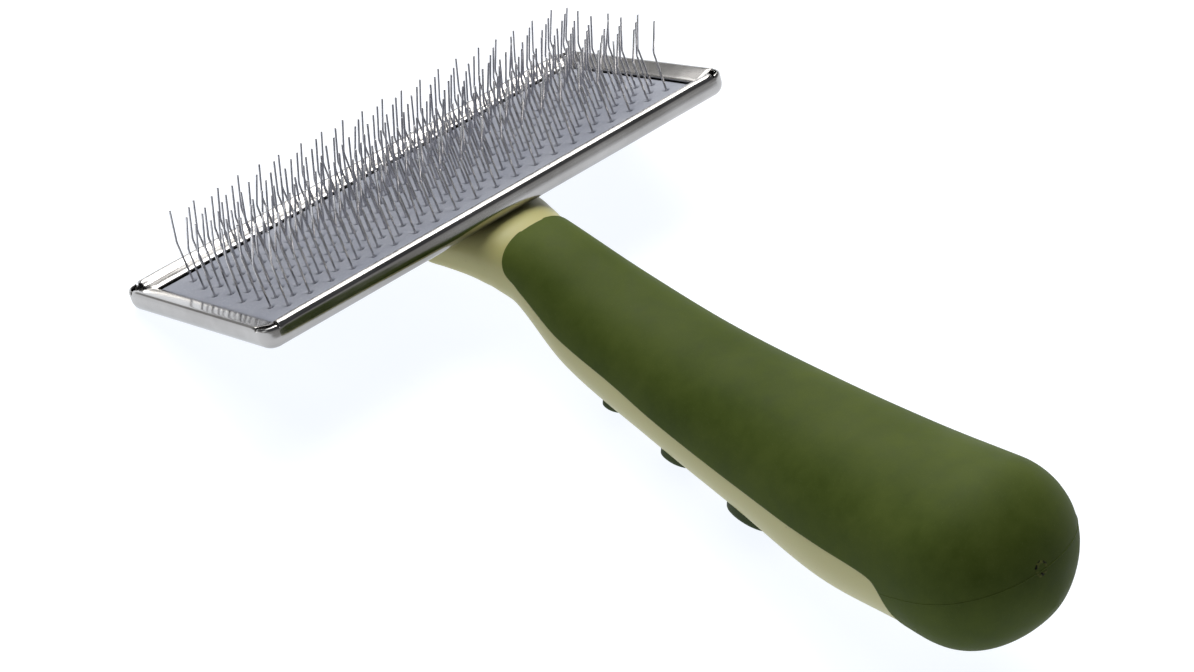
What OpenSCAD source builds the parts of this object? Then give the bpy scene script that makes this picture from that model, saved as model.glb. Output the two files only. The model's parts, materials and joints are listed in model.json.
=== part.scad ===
// Slicker brush lying on its back: a chromed pan of bent wire pins on a two-tone moulded handle.
// X runs along the head, Y from the butt of the handle to the head, Z up from the table.

/* [Head] */
// Length of the pan, across the handle
head_l = 119; // [116:1:130]
// Width of the pan, in line with the handle
head_w = 52; // [48:1:60]
// Depth of the pan from the top of its rolled edges to its back
head_h = 5.4; // [5.3:0.1:6.5]
// Angle of the pan to the table, far edge down
head_tilt = 26; // [22:0.1:28]
// Thickness of the sheet steel
sheet_t = 0.6; // [0.5:0.05:0.8]
// Plan radius of the pan's corners
corner_r = 3.2; // [3:0.1:5]
// Radius between the pan's walls and its back
edge_r = 2.6; // [1.8:0.1:2.8]
// Outer diameter of the rolled long edges
roll_d = 2.6; // [2:0.1:3]
// Width of the lip that slopes from the rolled long edges to the pad
lip_w = 5; // [4.4:0.1:5.2]
// Width of the folded short edges
fold_w = 5; // [4.4:0.1:5.2]

/* [Pin pad] */
// Height of the pad's face below the top of the rolled edges
pad_drop = 2.1; // [1.9:0.1:2.3]
// Thickness of the rubber pad
rubber_t = 1.6; // [1.5:0.1:1.7]
// Thickness of the fibre board under the foam
board_t = 0.4; // [0.3:0.1:0.5]
// Radius of the clearance hole round each pin
pin_hole_r = 0.5; // [0.45:0.05:0.6]
// Radial clearance of a staple's crown in its tunnel
crown_gap = 0.06; // [0.03:0.01:0.1]

/* [Pins] */
// Diameter of the wire
wire_d = 0.45; // [0.35:0.05:0.5]
// Number of rows across the width of the head
pin_rows = 12; // [8:1:12]
// Number of two-pin staples in a row
row_staples = 10; // [6:1:10]
// Distance between pins in a row
pin_pitch = 5.2; // [5:0.1:5.2]
// Distance between rows
row_pitch = 3; // [2.8:0.1:3.1]
// Length of a pin below its bend
shank_l = 9.2; // [8:0.1:11]
// Length of a pin above its bend
point_l = 8.0; // [6:0.1:9]
// Lean of the shank away from the handle
shank_lean = 7.5; // [4:0.5:10]
// Lean of the point back to the handle
point_lean = 22.5; // [15:0.5:30]

/* [Handle] */
// Length of the handle from the middle of the head to its butt
handle_l = 160.3; // [150:0.1:175]
// Thickness of the soft skin over the core
skin_t = 2; // [1.5:0.1:2.5]
// Roundness of the handle's sections, where 2 is an ellipse
section_power = 2.15; // [2:0.05:2.6]
// Height of the two-colour joint above the middle of a section, as a share of its half height
joint_rise = 0.08; // [0:0.01:0.25]
// Height of the thumb dots above the core
dot_h = 1.6; // [1.2:0.1:1.6]

/* [Hidden] */
pin_row_names = ["pin_row_01", "pin_row_02", "pin_row_03", "pin_row_04", "pin_row_05", "pin_row_06",
    "pin_row_07", "pin_row_08", "pin_row_09", "pin_row_10", "pin_row_11", "pin_row_12"];
$fn = 48;
eps = 0.01;

// Height of the middle of the head above the table, with the pan's far lower edge on the table
head_z = (head_w / 2 - edge_r) * sin(head_tilt) + (head_h - edge_r) * cos(head_tilt) + edge_r;
// Place of the middle of the head, which centres the whole brush on the origin
head_y = 68.7;

roll_r = roll_d / 2;
wire_r = wire_d / 2;
board_z = -head_h + sheet_t;
rubber_z = -pad_drop - rubber_t;
foam_z = board_z + board_t;
lip_z = -roll_d - 0.05;
crown_z = rubber_z + 0.55;
tunnel_r = wire_r + crown_gap;
pad_gap = 0.3;

rivet_x = 9;
rivet_y = -9;
rivet_r = 2;
rivet_head_r = 3.4;
rivet_head_h = 0.9;
rivet_tail_h = 0.8;
rivet_hole_r = 2.05;
washer_r = 4;
washer_t = 0.5;
washer_seat = 0.2;
tongue_w = 28;
tongue_front = -19;
tongue_back = 8;
tongue_t = 3.4;
seat_z = -head_h - tongue_t + washer_seat;

// Handle sections: distance behind the middle of the head, height of the centre, half width, half height
handle_keys = [
    [10, -4.2, 13.8, 4.0],
    [18, -2.2, 12.8, 5.4],
    [26, -0.5, 11.0, 7.2],
    [36, 0.0, 9.9, 8.6],
    [52, -2.35, 12.1, 10.8],
    [75, -1.5, 13.5, 12.0],
    [100, 1.3, 15.4, 13.8],
    [122, 4.4, 17.6, 15.7],
    [140, 9.7, 18.1, 16.2]];
butt_start = 140;
butt_rise = 0.5;
// Exponents that round the butt off, squarer than an ellipse
butt_power = 2.95;
butt_blend = 1.52;
ring_step = 6;
ring_sides = 32;
butt_rings = 7;
joint_steps = 18;

grip_nose = 30.5;
grip_nose_l = 8.5;
grip_nose_w = 10.6;
butt_wrap_start = 133;
butt_wrap_slope = 0.9;
butt_wrap_drop = 40;

// Thumb dots: distance behind the middle of the head, half width of the dome, half length of the dome,
// and half width and half length of the outline
dots = [[63.2, 11.9, 6.5, 10.8, 2.6], [80.8, 13.2, 11, 12, 4.8], [100.4, 14.9, 17, 13.4, 7.4]];
dot_depth = 1.5;
// How far the middle of a dome sits below the middle of the section, as a share of its half height
dot_sink = 0.35;

steel = [0.78, 0.79, 0.81];
rubber_blue = [0.55, 0.58, 0.65];
wire_grey = [0.62, 0.63, 0.66];
board_brown = [0.45, 0.38, 0.30];
foam_grey = [0.85, 0.85, 0.82];
core_green = [0.68, 0.66, 0.45];
skin_green = [0.27, 0.33, 0.15];

// ---- Frames ----

module head_frame() {
    translate([0, head_y, head_z]) rotate([-head_tilt, 0, 0]) children();
}

module handle_frame() {
    translate([0, head_y, head_z]) children();
}

// ---- Head ----

// Sweeps a wall profile round a rectangle; X of the profile is the distance outside the corner centres
module sweep_round(length, width, radius) {
    dx = length / 2 - radius;
    dy = width / 2 - radius;
    for (side = [[dx, dy, 0], [-dx, dy, 90], [-dx, -dy, 180], [dx, -dy, 270]])
        translate([side[0], side[1], 0]) rotate([0, 0, side[2]])
            rotate_extrude(angle = 90) children();
    for (side = [[dx, 0, 0, dy], [0, dy, 90, dx], [-dx, 0, 180, dy], [0, -dy, 270, dx]])
        translate([side[0], side[1], 0]) rotate([0, 0, side[2]])
            rotate([90, 0, 0]) translate([0, 0, -side[3]]) linear_extrude(2 * side[3]) children();
}

// Section of the pan's wall: back, rounded edge and upright
module wall_profile() {
    arc_x = corner_r - edge_r;
    arc_z = edge_r - head_h;
    translate([arc_x, arc_z]) intersection() {
        difference() {
            circle(edge_r);
            circle(edge_r - sheet_t);
        }
        translate([0, -edge_r]) square(edge_r);
    }
    translate([corner_r - sheet_t, arc_z - eps]) square([sheet_t, -roll_r - arc_z + eps]);
    translate([0, -head_h]) square([arc_x + eps, sheet_t]);
}

// Section of a rolled long edge, with the lip that slopes down to the pad
module roll_profile() {
    difference() {
        circle(roll_r);
        circle(roll_r - sheet_t);
        translate([-roll_r, -roll_r]) square([roll_r, roll_r]);
    }
    polygon([[-0.8, 0.06], [-1.1, 0.35], [roll_r - lip_w, -0.15], [roll_r - lip_w, -0.72]]);
}

// Section of a folded short edge, sloping down to the pad
module fold_profile() {
    polygon([[0, -roll_r], [0, -0.9], [-0.5, -0.45], [-fold_w, -1.52], [-fold_w, -2.08],
        [-0.75, -1.2], [-sheet_t, -1.4]]);
}

module head_pan() {
    flat_l = head_l - 2 * corner_r;
    flat_w = head_w - 2 * corner_r;
    roll_l = head_l - 2 * corner_r + 2.4;
    fold_l = head_w - 2 * corner_r + 0.6;
    color(steel) head_frame() difference() {
        union() {
            translate([-flat_l / 2, -flat_w / 2, -head_h]) cube([flat_l, flat_w, sheet_t]);
            sweep_round(head_l, head_w, corner_r) wall_profile();
            for (side = [0, 1]) mirror([0, side, 0])
                translate([-roll_l / 2, head_w / 2 - roll_r, -roll_r]) rotate([90, 0, 90])
                    linear_extrude(roll_l) roll_profile();
            for (side = [0, 1]) mirror([side, 0, 0])
                translate([head_l / 2, fold_l / 2, 0]) rotate([90, 0, 0])
                    linear_extrude(fold_l) fold_profile();
        }
        for (x = [-rivet_x, rivet_x]) translate([x, rivet_y, -head_h - 1])
            cylinder(h = sheet_t + 2, r = rivet_hole_r);
    }
}

// A flat layer with room for the rivet heads
module layer(length, width, z, thick, hole) {
    difference() {
        translate([-length / 2, -width / 2, z]) cube([length, width, thick]);
        for (x = [-rivet_x, rivet_x]) translate([x, rivet_y, z - 1]) cylinder(h = thick + 2, r = hole);
    }
}

inner_l = head_l - 2 * corner_r;
inner_w = head_w - 2 * corner_r;

module backing_board() {
    color(board_brown) head_frame() layer(inner_l, inner_w, board_z, board_t, rivet_head_r + 0.3);
}

module foam_cushion() {
    color(foam_grey) head_frame()
        layer(inner_l, inner_w, foam_z, rubber_z - foam_z, rivet_head_r + 0.3);
}

function row_y(i) = (i - (pin_rows - 1) / 2) * row_pitch;
// Each row is set over by five eighths of the pitch from the last
function row_shift(i) = ((5 * i + 5) % 8 - 3) * pin_pitch / 8;
function pin_x(i, j) = (j - row_staples + 0.5) * pin_pitch + row_shift(i);

module rubber_pad() {
    skirt_l = head_l - 2 * sheet_t - 2 * pad_gap;
    skirt_w = head_w - 2 * sheet_t - 2 * pad_gap;
    face_l = head_l - 2 * fold_w - 2 * pad_gap;
    face_w = head_w - 2 * lip_w - 2 * pad_gap;
    tunnel_l = (2 * row_staples) * pin_pitch;
    color(rubber_blue) head_frame() difference() {
        union() {
            translate([-skirt_l / 2, -skirt_w / 2, rubber_z]) cube([skirt_l, skirt_w, lip_z - rubber_z]);
            translate([-face_l / 2, -face_w / 2, rubber_z]) cube([face_l, face_w, rubber_t]);
        }
        for (i = [0:pin_rows - 1]) {
            translate([row_shift(i) - tunnel_l / 2, row_y(i), crown_z]) rotate([0, 90, 0])
                cylinder(h = tunnel_l, r = tunnel_r);
            for (j = [0:2 * row_staples - 1])
                translate([pin_x(i, j), row_y(i), crown_z]) rotate([-shank_lean, 0, 0])
                    cylinder(h = 2 * rubber_t, r = pin_hole_r);
        }
    }
}

// ---- Pins ----

module wire(length) {
    cylinder(h = length, r = wire_r);
}

// A knuckle a hair larger than the wire, which closes the bend
module knuckle() {
    sphere(r = wire_r * 1.04);
}

module pin() {
    rotate([-shank_lean, 0, 0]) {
        wire(shank_l);
        translate([0, 0, shank_l]) {
            knuckle();
            rotate([shank_lean + point_lean, 0, 0]) wire(point_l);
        }
    }
    knuckle();
}

module staple() {
    for (x = [0, pin_pitch]) translate([x, 0, 0]) pin();
    rotate([0, 90, 0]) wire(pin_pitch);
}

module pin_row(i) {
    color(wire_grey) head_frame() for (s = [0:row_staples - 1])
        translate([pin_x(i, 2 * s), row_y(i), crown_z]) staple();
}

// ---- Fasteners ----

// Domed head inside the pan, shank through the pan and the handle, washer and upset tail behind
module head_rivets() {
    tail_z = seat_z - washer_t;
    color(steel) head_frame() for (x = [-rivet_x, rivet_x]) translate([x, rivet_y, 0]) {
        translate([0, 0, board_z])
            cylinder(h = rivet_head_h, r1 = rivet_head_r, r2 = rivet_head_r * 0.7);
        translate([0, 0, tail_z - eps]) cylinder(h = board_z - tail_z + 2 * eps, r = rivet_r);
        translate([0, 0, tail_z - rivet_tail_h])
            cylinder(h = rivet_tail_h, r1 = rivet_r * 0.8, r2 = rivet_r * 1.45);
    }
}

module rivet_washers() {
    color(steel) head_frame() for (x = [-rivet_x, rivet_x])
        translate([x, rivet_y, seat_z - washer_t]) difference() {
            cylinder(h = washer_t, r = washer_r);
            translate([0, 0, -1]) cylinder(h = washer_t + 2, r = rivet_hole_r);
        }
}

// ---- Handle ----

// Smooth curve through column c of the handle's sections, at distance d behind the head
function key_index(d, i = 0) =
    i >= len(handle_keys) - 2 || d < handle_keys[i + 1][0] ? i : key_index(d, i + 1);
function slope(c, i) =
    let (a = max(i - 1, 0), b = min(i + 1, len(handle_keys) - 1))
    (handle_keys[b][c] - handle_keys[a][c]) / (handle_keys[b][0] - handle_keys[a][0]);
function hermite(p, q, m, n, t) =
    (2 * t ^ 3 - 3 * t ^ 2 + 1) * p + (t ^ 3 - 2 * t ^ 2 + t) * m
    + (3 * t ^ 2 - 2 * t ^ 3) * q + (t ^ 3 - t ^ 2) * n;
function along(c, d) =
    let (i = key_index(d), p = handle_keys[i], q = handle_keys[i + 1], w = q[0] - p[0])
    hermite(p[c], q[c], slope(c, i) * w, slope(c, i + 1) * w, (d - p[0]) / w);

// One section [distance, centre height, half width, half height]
function body_section(d) = [d, along(1, d), along(2, d), along(3, d)];
function butt_section(s) =
    let (last = body_section(butt_start), f = (1 - s ^ butt_power) ^ (1 / butt_blend),
        climb = slope(1, len(handle_keys) - 1) * (handle_l - butt_start) * s * (1 - s) ^ 3)
    [butt_start + (handle_l - butt_start) * s, last[1] + climb + butt_rise * s ^ 2, last[2] * f, last[3] * f];

function power_cos(a) = sign(cos(a)) * abs(cos(a)) ^ (2 / section_power);
function power_sin(a) = sign(sin(a)) * abs(sin(a)) ^ (2 / section_power);
function ring(s, grow) = [for (k = [0:ring_sides - 1]) let (a = 360 * k / ring_sides)
    [(s[2] + grow) * power_cos(a), -s[0], s[1] + (s[3] + grow) * power_sin(a)]];

// The handle's outer form, grown or shrunk by a distance
module handle_form(grow = 0) {
    first = handle_keys[0][0];
    tip = handle_l + grow;
    body = [for (d = [first:ring_step:butt_start - eps]) body_section(d)];
    butt = [for (k = [0:butt_rings - 1]) let (s = sin(90 * k / butt_rings), b = butt_section(s))
        [butt_start + (tip - butt_start) * s, b[1], b[2], b[3]]];
    rings = concat(body, butt);
    count = len(rings);
    points = concat([for (s = rings) each ring(s, grow)],
        [[0, -first, rings[0][1]], [0, -tip, butt_section(1)[1]]]);
    sides = [for (r = [0:count - 2]) for (k = [0:ring_sides - 1]) let (n = (k + 1) % ring_sides)
        [(r + 1) * ring_sides + k, (r + 1) * ring_sides + n, r * ring_sides + n, r * ring_sides + k]];
    caps = [for (k = [0:ring_sides - 1]) let (n = (k + 1) % ring_sides)
        each [[count * ring_sides, k, n],
            [count * ring_sides + 1, (count - 1) * ring_sides + n, (count - 1) * ring_sides + k]]];
    polyhedron(points, concat(sides, caps));
}

// Everything above the two-colour joint, and the whole of the butt behind the wrap line
module skin_zone() {
    reach = 60;
    spare = 60;
    start = grip_nose - 5;
    joint = [for (d = [start:(butt_wrap_start - start) / joint_steps:butt_wrap_start + eps])
        [-d, along(1, d) + joint_rise * along(3, d)]];
    wrap_end = butt_wrap_start + butt_wrap_slope * butt_wrap_drop;
    wrap = [[-wrap_end, along(1, butt_wrap_start) - butt_wrap_drop],
        [-handle_l - spare, -butt_wrap_drop], [-handle_l - spare, reach], [-start, reach]];
    intersection() {
        rotate([90, 0, 90]) translate([0, 0, -reach]) linear_extrude(2 * reach)
            polygon(concat(joint, wrap));
        translate([0, 0, -reach]) linear_extrude(2 * reach) union() {
            translate([0, -grip_nose - grip_nose_l]) scale([grip_nose_w, grip_nose_l]) circle(1);
            translate([-reach, -handle_l - spare])
                square([2 * reach, handle_l + spare - grip_nose - grip_nose_l]);
        }
    }
}

// The room under the handle for each dot, up to the widest height of its dome
module dot_zone() {
    for (dot = dots) let (s = body_section(dot[0]), top = s[1] - dot_sink * s[3])
        translate([0, -dot[0], top - 40]) scale([dot[3], dot[4], 1]) cylinder(h = 40, r = 1);
}

module dot_domes() {
    for (dot = dots) let (s = body_section(dot[0]))
        translate([0, -dot[0], s[1] - dot_sink * s[3]])
            scale([dot[1], dot[2], (1 - dot_sink) * s[3] + dot_h]) sphere(1);
}

// The tongue that the pan is riveted to
module tongue() {
    end_r = tongue_w / 2 - 7;
    rotate([-head_tilt, 0, 0]) translate([0, 0, -head_h - tongue_t])
        linear_extrude(tongue_t + 1) hull() {
            for (x = [-1, 1]) translate([x * (tongue_w / 2 - end_r), tongue_back - end_r]) circle(end_r);
            translate([-tongue_w / 2, tongue_front]) square([tongue_w, 1]);
        }
}

// The room that the pan takes out of the neck
module pan_room() {
    rotate([-head_tilt, 0, 0]) {
        translate([-head_l, -head_w / 2 - 0.3, -head_h]) cube([2 * head_l, 2 * head_w, 4 * head_h]);
        for (x = [-rivet_x, rivet_x]) translate([x, rivet_y, -head_h - tongue_t - 1])
            cylinder(h = tongue_t + 2, r = rivet_r + 0.15, $fn = 32);
        for (x = [-rivet_x, rivet_x]) translate([x, rivet_y, seat_z - 20])
            cylinder(h = 20, r = washer_r + 0.3, $fn = 32);
    }
}

module handle_core() {
    color(core_green) handle_frame() resize([0, 0, 0]) difference() {
        union() {
            handle_form();
            tongue();
        }
        pan_room();
        difference() {
            skin_zone();
            handle_form(-skin_t);
        }
        difference() {
            dot_zone();
            handle_form(-dot_depth);
        }
    }
}

module grip_skin() {
    color(skin_green) handle_frame() resize([0, 0, 0]) intersection() {
        difference() {
            handle_form();
            handle_form(-skin_t);
        }
        skin_zone();
    }
}

module thumb_dots() {
    color(skin_green) handle_frame() resize([0, 0, 0]) intersection() {
        difference() {
            dot_domes();
            handle_form(-dot_depth);
        }
        dot_zone();
    }
}

head_pan();
backing_board();
foam_cushion();
rubber_pad();
for (i = [0:pin_rows - 1]) pin_row(i);
head_rivets();
rivet_washers();
handle_core();
grip_skin();
thumb_dots();
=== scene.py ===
"""Looks of the slicker brush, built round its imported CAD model.

Meshes are made in millimetres and turned into metres when they become a piece. The plate frame is the
head's own: X along the head, Y away from the handle, Z out along the pins, 0 at the top of the pan. The
handle frame is the row frame moved to the middle of the head, where a distance runs back to the butt.
"""

import json
import math
import random

import bmesh
import bpy
from mathutils import Matrix, Vector, kdtree, noise


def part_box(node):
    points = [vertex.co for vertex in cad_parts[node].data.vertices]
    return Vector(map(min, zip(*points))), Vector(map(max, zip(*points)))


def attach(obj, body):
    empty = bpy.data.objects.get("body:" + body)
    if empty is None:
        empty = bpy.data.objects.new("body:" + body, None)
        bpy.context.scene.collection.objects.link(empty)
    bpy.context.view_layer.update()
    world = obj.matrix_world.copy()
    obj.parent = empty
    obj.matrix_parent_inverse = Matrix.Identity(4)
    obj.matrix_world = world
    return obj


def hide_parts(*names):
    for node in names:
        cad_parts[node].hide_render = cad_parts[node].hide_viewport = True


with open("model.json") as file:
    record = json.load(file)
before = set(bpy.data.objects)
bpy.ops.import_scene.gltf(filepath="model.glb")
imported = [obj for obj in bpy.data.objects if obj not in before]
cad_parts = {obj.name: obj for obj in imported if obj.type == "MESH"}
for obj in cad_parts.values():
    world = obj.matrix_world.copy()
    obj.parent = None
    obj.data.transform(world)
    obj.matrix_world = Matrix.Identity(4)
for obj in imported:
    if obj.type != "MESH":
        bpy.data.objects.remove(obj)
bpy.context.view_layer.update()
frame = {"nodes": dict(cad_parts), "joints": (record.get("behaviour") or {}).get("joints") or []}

MM = 0.001
BODY = "brush"

# ---- Sizes, in millimetres ----

PAN_L = (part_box("head_pan")[1].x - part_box("head_pan")[0].x) / MM
PAN_W = 52
PAN_H = 5.4
SHEET = 0.45
CORNER_R = 3.2
EDGE_R = 2.6
ROLL_R = 1.3
FOLD_W = 5
LIP_W = 5

PAD_TOP = -2.1
PAD_T = 1.6
CROWN_Z = PAD_TOP - PAD_T + 0.55
DIMPLE_R = 1.25
DIMPLE_DEPTH = 0.32
HOLE_R = 0.5
BOARD_TOP = -4.4

WIRE_R = 0.225
PIN_ROWS = len(frame["joints"])
PIN_PITCH = 5.2
STAPLES = 10
SHANK = 9.2
POINT = 8.0
SHANK_LEAN = math.radians(7.5)
POINT_LEAN = math.radians(22.5)
KNEE_R = 2.2
CROWN_BEND_R = 0.55

RIVET_X = 9
RIVET_Y = -9
RIVET_R = 2
WASHER_R = 4
WASHER_T = 0.5
SEAT_Z = -PAN_H - 3.2

SECTION_POWER = 2.15
BUTT_START = 140
HANDLE_L = 160.3
BUTT_RISE = 0.5
BUTT_POWER = 2.95
BUTT_BLEND = 1.52
SKIN_T = 1.8
SKIN_GAP = 0.3
SINK = 0.2

# Handle sections as in the CAD: distance, centre height, half width, half height
HANDLE_KEYS = [
    (36, 0.0, 9.9, 8.6), (52, -2.35, 12.1, 10.8), (75, -1.5, 13.5, 12.0), (100, 1.3, 15.4, 13.8),
    (122, 4.4, 17.6, 15.7), (140, 9.7, 18.1, 16.2)]

# ---- Frames ----

hinges = [Vector(joint["pos_m"]) / MM for joint in frame["joints"]]
plate_y = (hinges[-1] - hinges[0]).normalized()
plate_z = Vector((1, 0, 0)).cross(plate_y)
head_middle = (hinges[0] + hinges[-1]) / 2 - plate_z * CROWN_Z
ROW_PITCH = (hinges[-1] - hinges[0]).length / (PIN_ROWS - 1)

PLATE = Matrix.Translation(head_middle) @ Matrix((
    (1, 0, 0, 0), (0, plate_y.y, plate_z.y, 0), (0, plate_y.z, plate_z.z, 0), (0, 0, 0, 1)))
HANDLE = Matrix.Translation(head_middle)


def plate_point(y, z):
    """A point of the plate's side view, as Y and Z in the handle frame."""
    point = plate_y * y + plate_z * z
    return point.y, point.z


# ---- Mesh helpers ----

def make_piece(name, bm, place, material, body=BODY, outward=True, sharp=40):
    """Turns a bmesh in millimetres into a piece of the model that rides on a body."""
    if outward:
        bmesh.ops.recalc_face_normals(bm, faces=bm.faces)
    bm.transform(Matrix.Scale(MM, 4) @ place)
    mesh = bpy.data.meshes.new(name)
    bm.to_mesh(mesh)
    bm.free()
    mesh.shade_smooth()
    mesh.set_sharp_from_angle(angle=math.radians(sharp))
    mesh.materials.append(material)
    piece = bpy.data.objects.new(name, mesh)
    bpy.context.scene.collection.objects.link(piece)
    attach(piece, body)
    return piece


def add_modifier(piece, kind, **settings):
    """Adds a modifier and applies it at once."""
    modifier = piece.modifiers.new(kind.lower(), kind)
    for key, value in settings.items():
        setattr(modifier, key, value)
    bpy.context.view_layer.update()
    shaped = piece.evaluated_get(bpy.context.evaluated_depsgraph_get())
    old = piece.data
    piece.data = bpy.data.meshes.new_from_object(shaped)
    piece.modifiers.clear()
    piece.data.name = old.name
    bpy.data.meshes.remove(old)


def soften(piece, width, angle=40, segments=2):
    """Rounds the piece's sharp edges by a width in millimetres."""
    add_modifier(piece, "BEVEL", width=width * MM, segments=segments, limit_method="ANGLE",
                 angle_limit=math.radians(angle), use_clamp_overlap=True)
    piece.data.shade_smooth()
    piece.data.set_sharp_from_angle(angle=math.radians(angle))


def bridge(bm, first, second, closed=True):
    """Quads, or triangles where points are shared, between two loops with as many points."""
    count = len(first)
    for k in range(count if closed else count - 1):
        n = (k + 1) % count
        corners = []
        for vertex in (first[k], first[n], second[n], second[k]):
            if vertex not in corners:
                corners.append(vertex)
        if len(corners) > 2:
            bm.faces.new(corners)


def loft(bm, rings, caps=True):
    """A skin over rings of points, closed at both ends."""
    loops = [[bm.verts.new(point) for point in ring] for ring in rings]
    for first, second in zip(loops, loops[1:]):
        bridge(bm, first, second)
    if caps:
        for loop in (loops[0], loops[-1]):
            bm.faces.new(loop)
    return loops


def lathe(bm, profile, centre, sides=40):
    """Turns a closed profile of radius and height round a vertical line."""
    rings = []
    for radius, height in profile:
        turn = [2 * math.pi * k / sides for k in range(sides)]
        rings.append([centre + Vector((radius * math.cos(a), radius * math.sin(a), height)) for a in turn])
    loft(bm, rings)


def tube(bm, path, radius, sides=8):
    """A round wire along a path, with round tips."""
    rings = []
    side = None
    last = len(path) - 1
    for k, point in enumerate(path):
        ahead = (path[min(k + 1, last)] - path[max(k - 1, 0)]).normalized()
        if side is None:
            side = ahead.orthogonal().normalized()
        side = (side - ahead * side.dot(ahead)).normalized()
        other = ahead.cross(side)
        ring = [side * math.cos(2 * math.pi * n / sides) + other * math.sin(2 * math.pi * n / sides)
                for n in range(sides)]
        rings.append((point, ahead, ring))
    rows = []
    for angle in (20, 50):
        a = math.radians(angle)
        point, ahead, ring = rings[0]
        rows.append([point - ahead * radius * math.cos(a) + v * radius * math.sin(a) for v in ring])
    for point, ahead, ring in rings:
        rows.append([point + v * radius for v in ring])
    for angle in (50, 20):
        a = math.radians(angle)
        point, ahead, ring = rings[-1]
        rows.append([point + ahead * radius * math.cos(a) + v * radius * math.sin(a) for v in ring])
    loft(bm, rows)


def rounded_path(corners, bends, steps=5):
    """A path through corners, each inner one rounded with its own bend radius."""
    path = [corners[0]]
    for before, corner, after, bend in zip(corners, corners[1:], corners[2:], bends):
        into = (corner - before).normalized()
        out = (after - corner).normalized()
        turn = into.angle(out)
        reach = bend * math.tan(turn / 2)
        start = corner - into * reach
        end = corner + out * reach
        for k in range(steps + 1):
            t = k / steps
            path.append(start * (1 - t) ** 2 + corner * 2 * t * (1 - t) + end * t ** 2)
    path.append(corners[-1])
    return path


def smooth_step(low, high, x):
    t = min(max((x - low) / (high - low), 0), 1)
    return t * t * (3 - 2 * t)


def ripple(x, y, z, seed=0.0):
    """Smooth noise from -1 to 1 at a place."""
    return noise.noise(Vector((x, y, z + 17.3 * seed)))


# ---- Materials ----

class Finish:
    """A node material, with helpers for its pattern nodes."""

    def __init__(self, name, **values):
        self.material = bpy.data.materials.new(name)
        self.material.use_nodes = True
        self.tree = self.material.node_tree
        self.shader = self.tree.nodes["Principled BSDF"]
        for key, value in values.items():
            self.shader.inputs[key.replace("_", " ")].default_value = value
        self.place = self.tree.nodes.new("ShaderNodeTexCoord").outputs["Object"]

    def node(self, kind, **settings):
        made = self.tree.nodes.new(kind)
        for key, value in settings.items():
            setattr(made, key, value)
        return made

    def link(self, source, target):
        self.tree.links.new(source, target)

    def stretched(self, scale):
        """Object coordinates with another scale along each axis."""
        mapping = self.node("ShaderNodeMapping")
        mapping.inputs["Scale"].default_value = scale
        self.link(self.place, mapping.inputs["Vector"])
        return mapping.outputs["Vector"]

    def grain(self, size, detail=2.0, rough=0.5, distortion=0.0, vector=None):
        """Noise whose blots are about a size in millimetres."""
        made = self.node("ShaderNodeTexNoise")
        made.inputs["Scale"].default_value = 1 / (size * MM)
        made.inputs["Detail"].default_value = detail
        made.inputs["Roughness"].default_value = rough
        made.inputs["Distortion"].default_value = distortion
        self.link(vector or self.place, made.inputs["Vector"])
        return made.outputs["Fac"]

    def cells(self, size, feature="F1"):
        made = self.node("ShaderNodeTexVoronoi", feature=feature)
        made.inputs["Scale"].default_value = 1 / (size * MM)
        self.link(self.place, made.inputs["Vector"])
        return made.outputs["Distance"]

    def ramp(self, source, *stops):
        """Turns a value into colours: each stop is a place from 0 to 1 and a colour."""
        made = self.node("ShaderNodeValToRGB")
        line = made.color_ramp.elements
        while len(line) < len(stops):
            line.new(0.5)
        for element, (where, colour) in zip(line, stops):
            element.position = where
            element.color = (*colour, 1)
        self.link(source, made.inputs["Fac"])
        return made.outputs["Color"]

    def span(self, source, low, high, from_low=0.3, from_high=0.7):
        """Maps a value onto a range."""
        made = self.node("ShaderNodeMapRange")
        made.inputs["From Min"].default_value = from_low
        made.inputs["From Max"].default_value = from_high
        made.inputs["To Min"].default_value = low
        made.inputs["To Max"].default_value = high
        self.link(source, made.inputs["Value"])
        return made.outputs["Result"]

    def blend(self, factor, first, second, kind="MIX"):
        made = self.node("ShaderNodeMix", data_type="RGBA", blend_type=kind)
        for source, socket in ((factor, made.inputs[0]), (first, made.inputs[6]), (second, made.inputs[7])):
            if hasattr(source, "is_output"):
                self.link(source, socket)
            else:
                socket.default_value = source if isinstance(source, (int, float)) else (*source, 1)
        return made.outputs[2]

    def colour(self, source):
        self.link(source, self.shader.inputs["Base Color"])

    def roughness(self, source):
        self.link(source, self.shader.inputs["Roughness"])

    def bump(self, *layers):
        """Bump layers of height, strength and distance in millimetres, each over the one before."""
        normal = None
        for height, strength, distance in layers:
            made = self.node("ShaderNodeBump")
            made.inputs["Strength"].default_value = strength
            made.inputs["Distance"].default_value = distance * MM
            self.link(height, made.inputs["Height"])
            if normal:
                self.link(normal, made.inputs["Normal"])
            normal = made.outputs["Normal"]
        self.link(normal, self.shader.inputs["Normal"])


def chrome_finish():
    """Polished chrome on pressed steel: faint waviness, hairline scratches, smears that dull it."""
    finish = Finish("chromed_steel", Metallic=1.0)
    smear = finish.grain(14, detail=3, rough=0.6)
    fine = finish.grain(0.5, detail=3)
    finish.colour(finish.ramp(smear, (0.3, (0.33, 0.32, 0.31)), (0.7, (0.43, 0.42, 0.41))))
    finish.roughness(finish.span(smear, 0.10, 0.20))
    scratches = finish.grain(0.12, detail=1, vector=finish.stretched((0.03, 1, 1)))
    waves = finish.grain(9, detail=1)
    finish.bump((waves, 0.15, 0.10), (scratches, 0.05, 0.02), (fine, 0.04, 0.02))
    return finish.material


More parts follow.
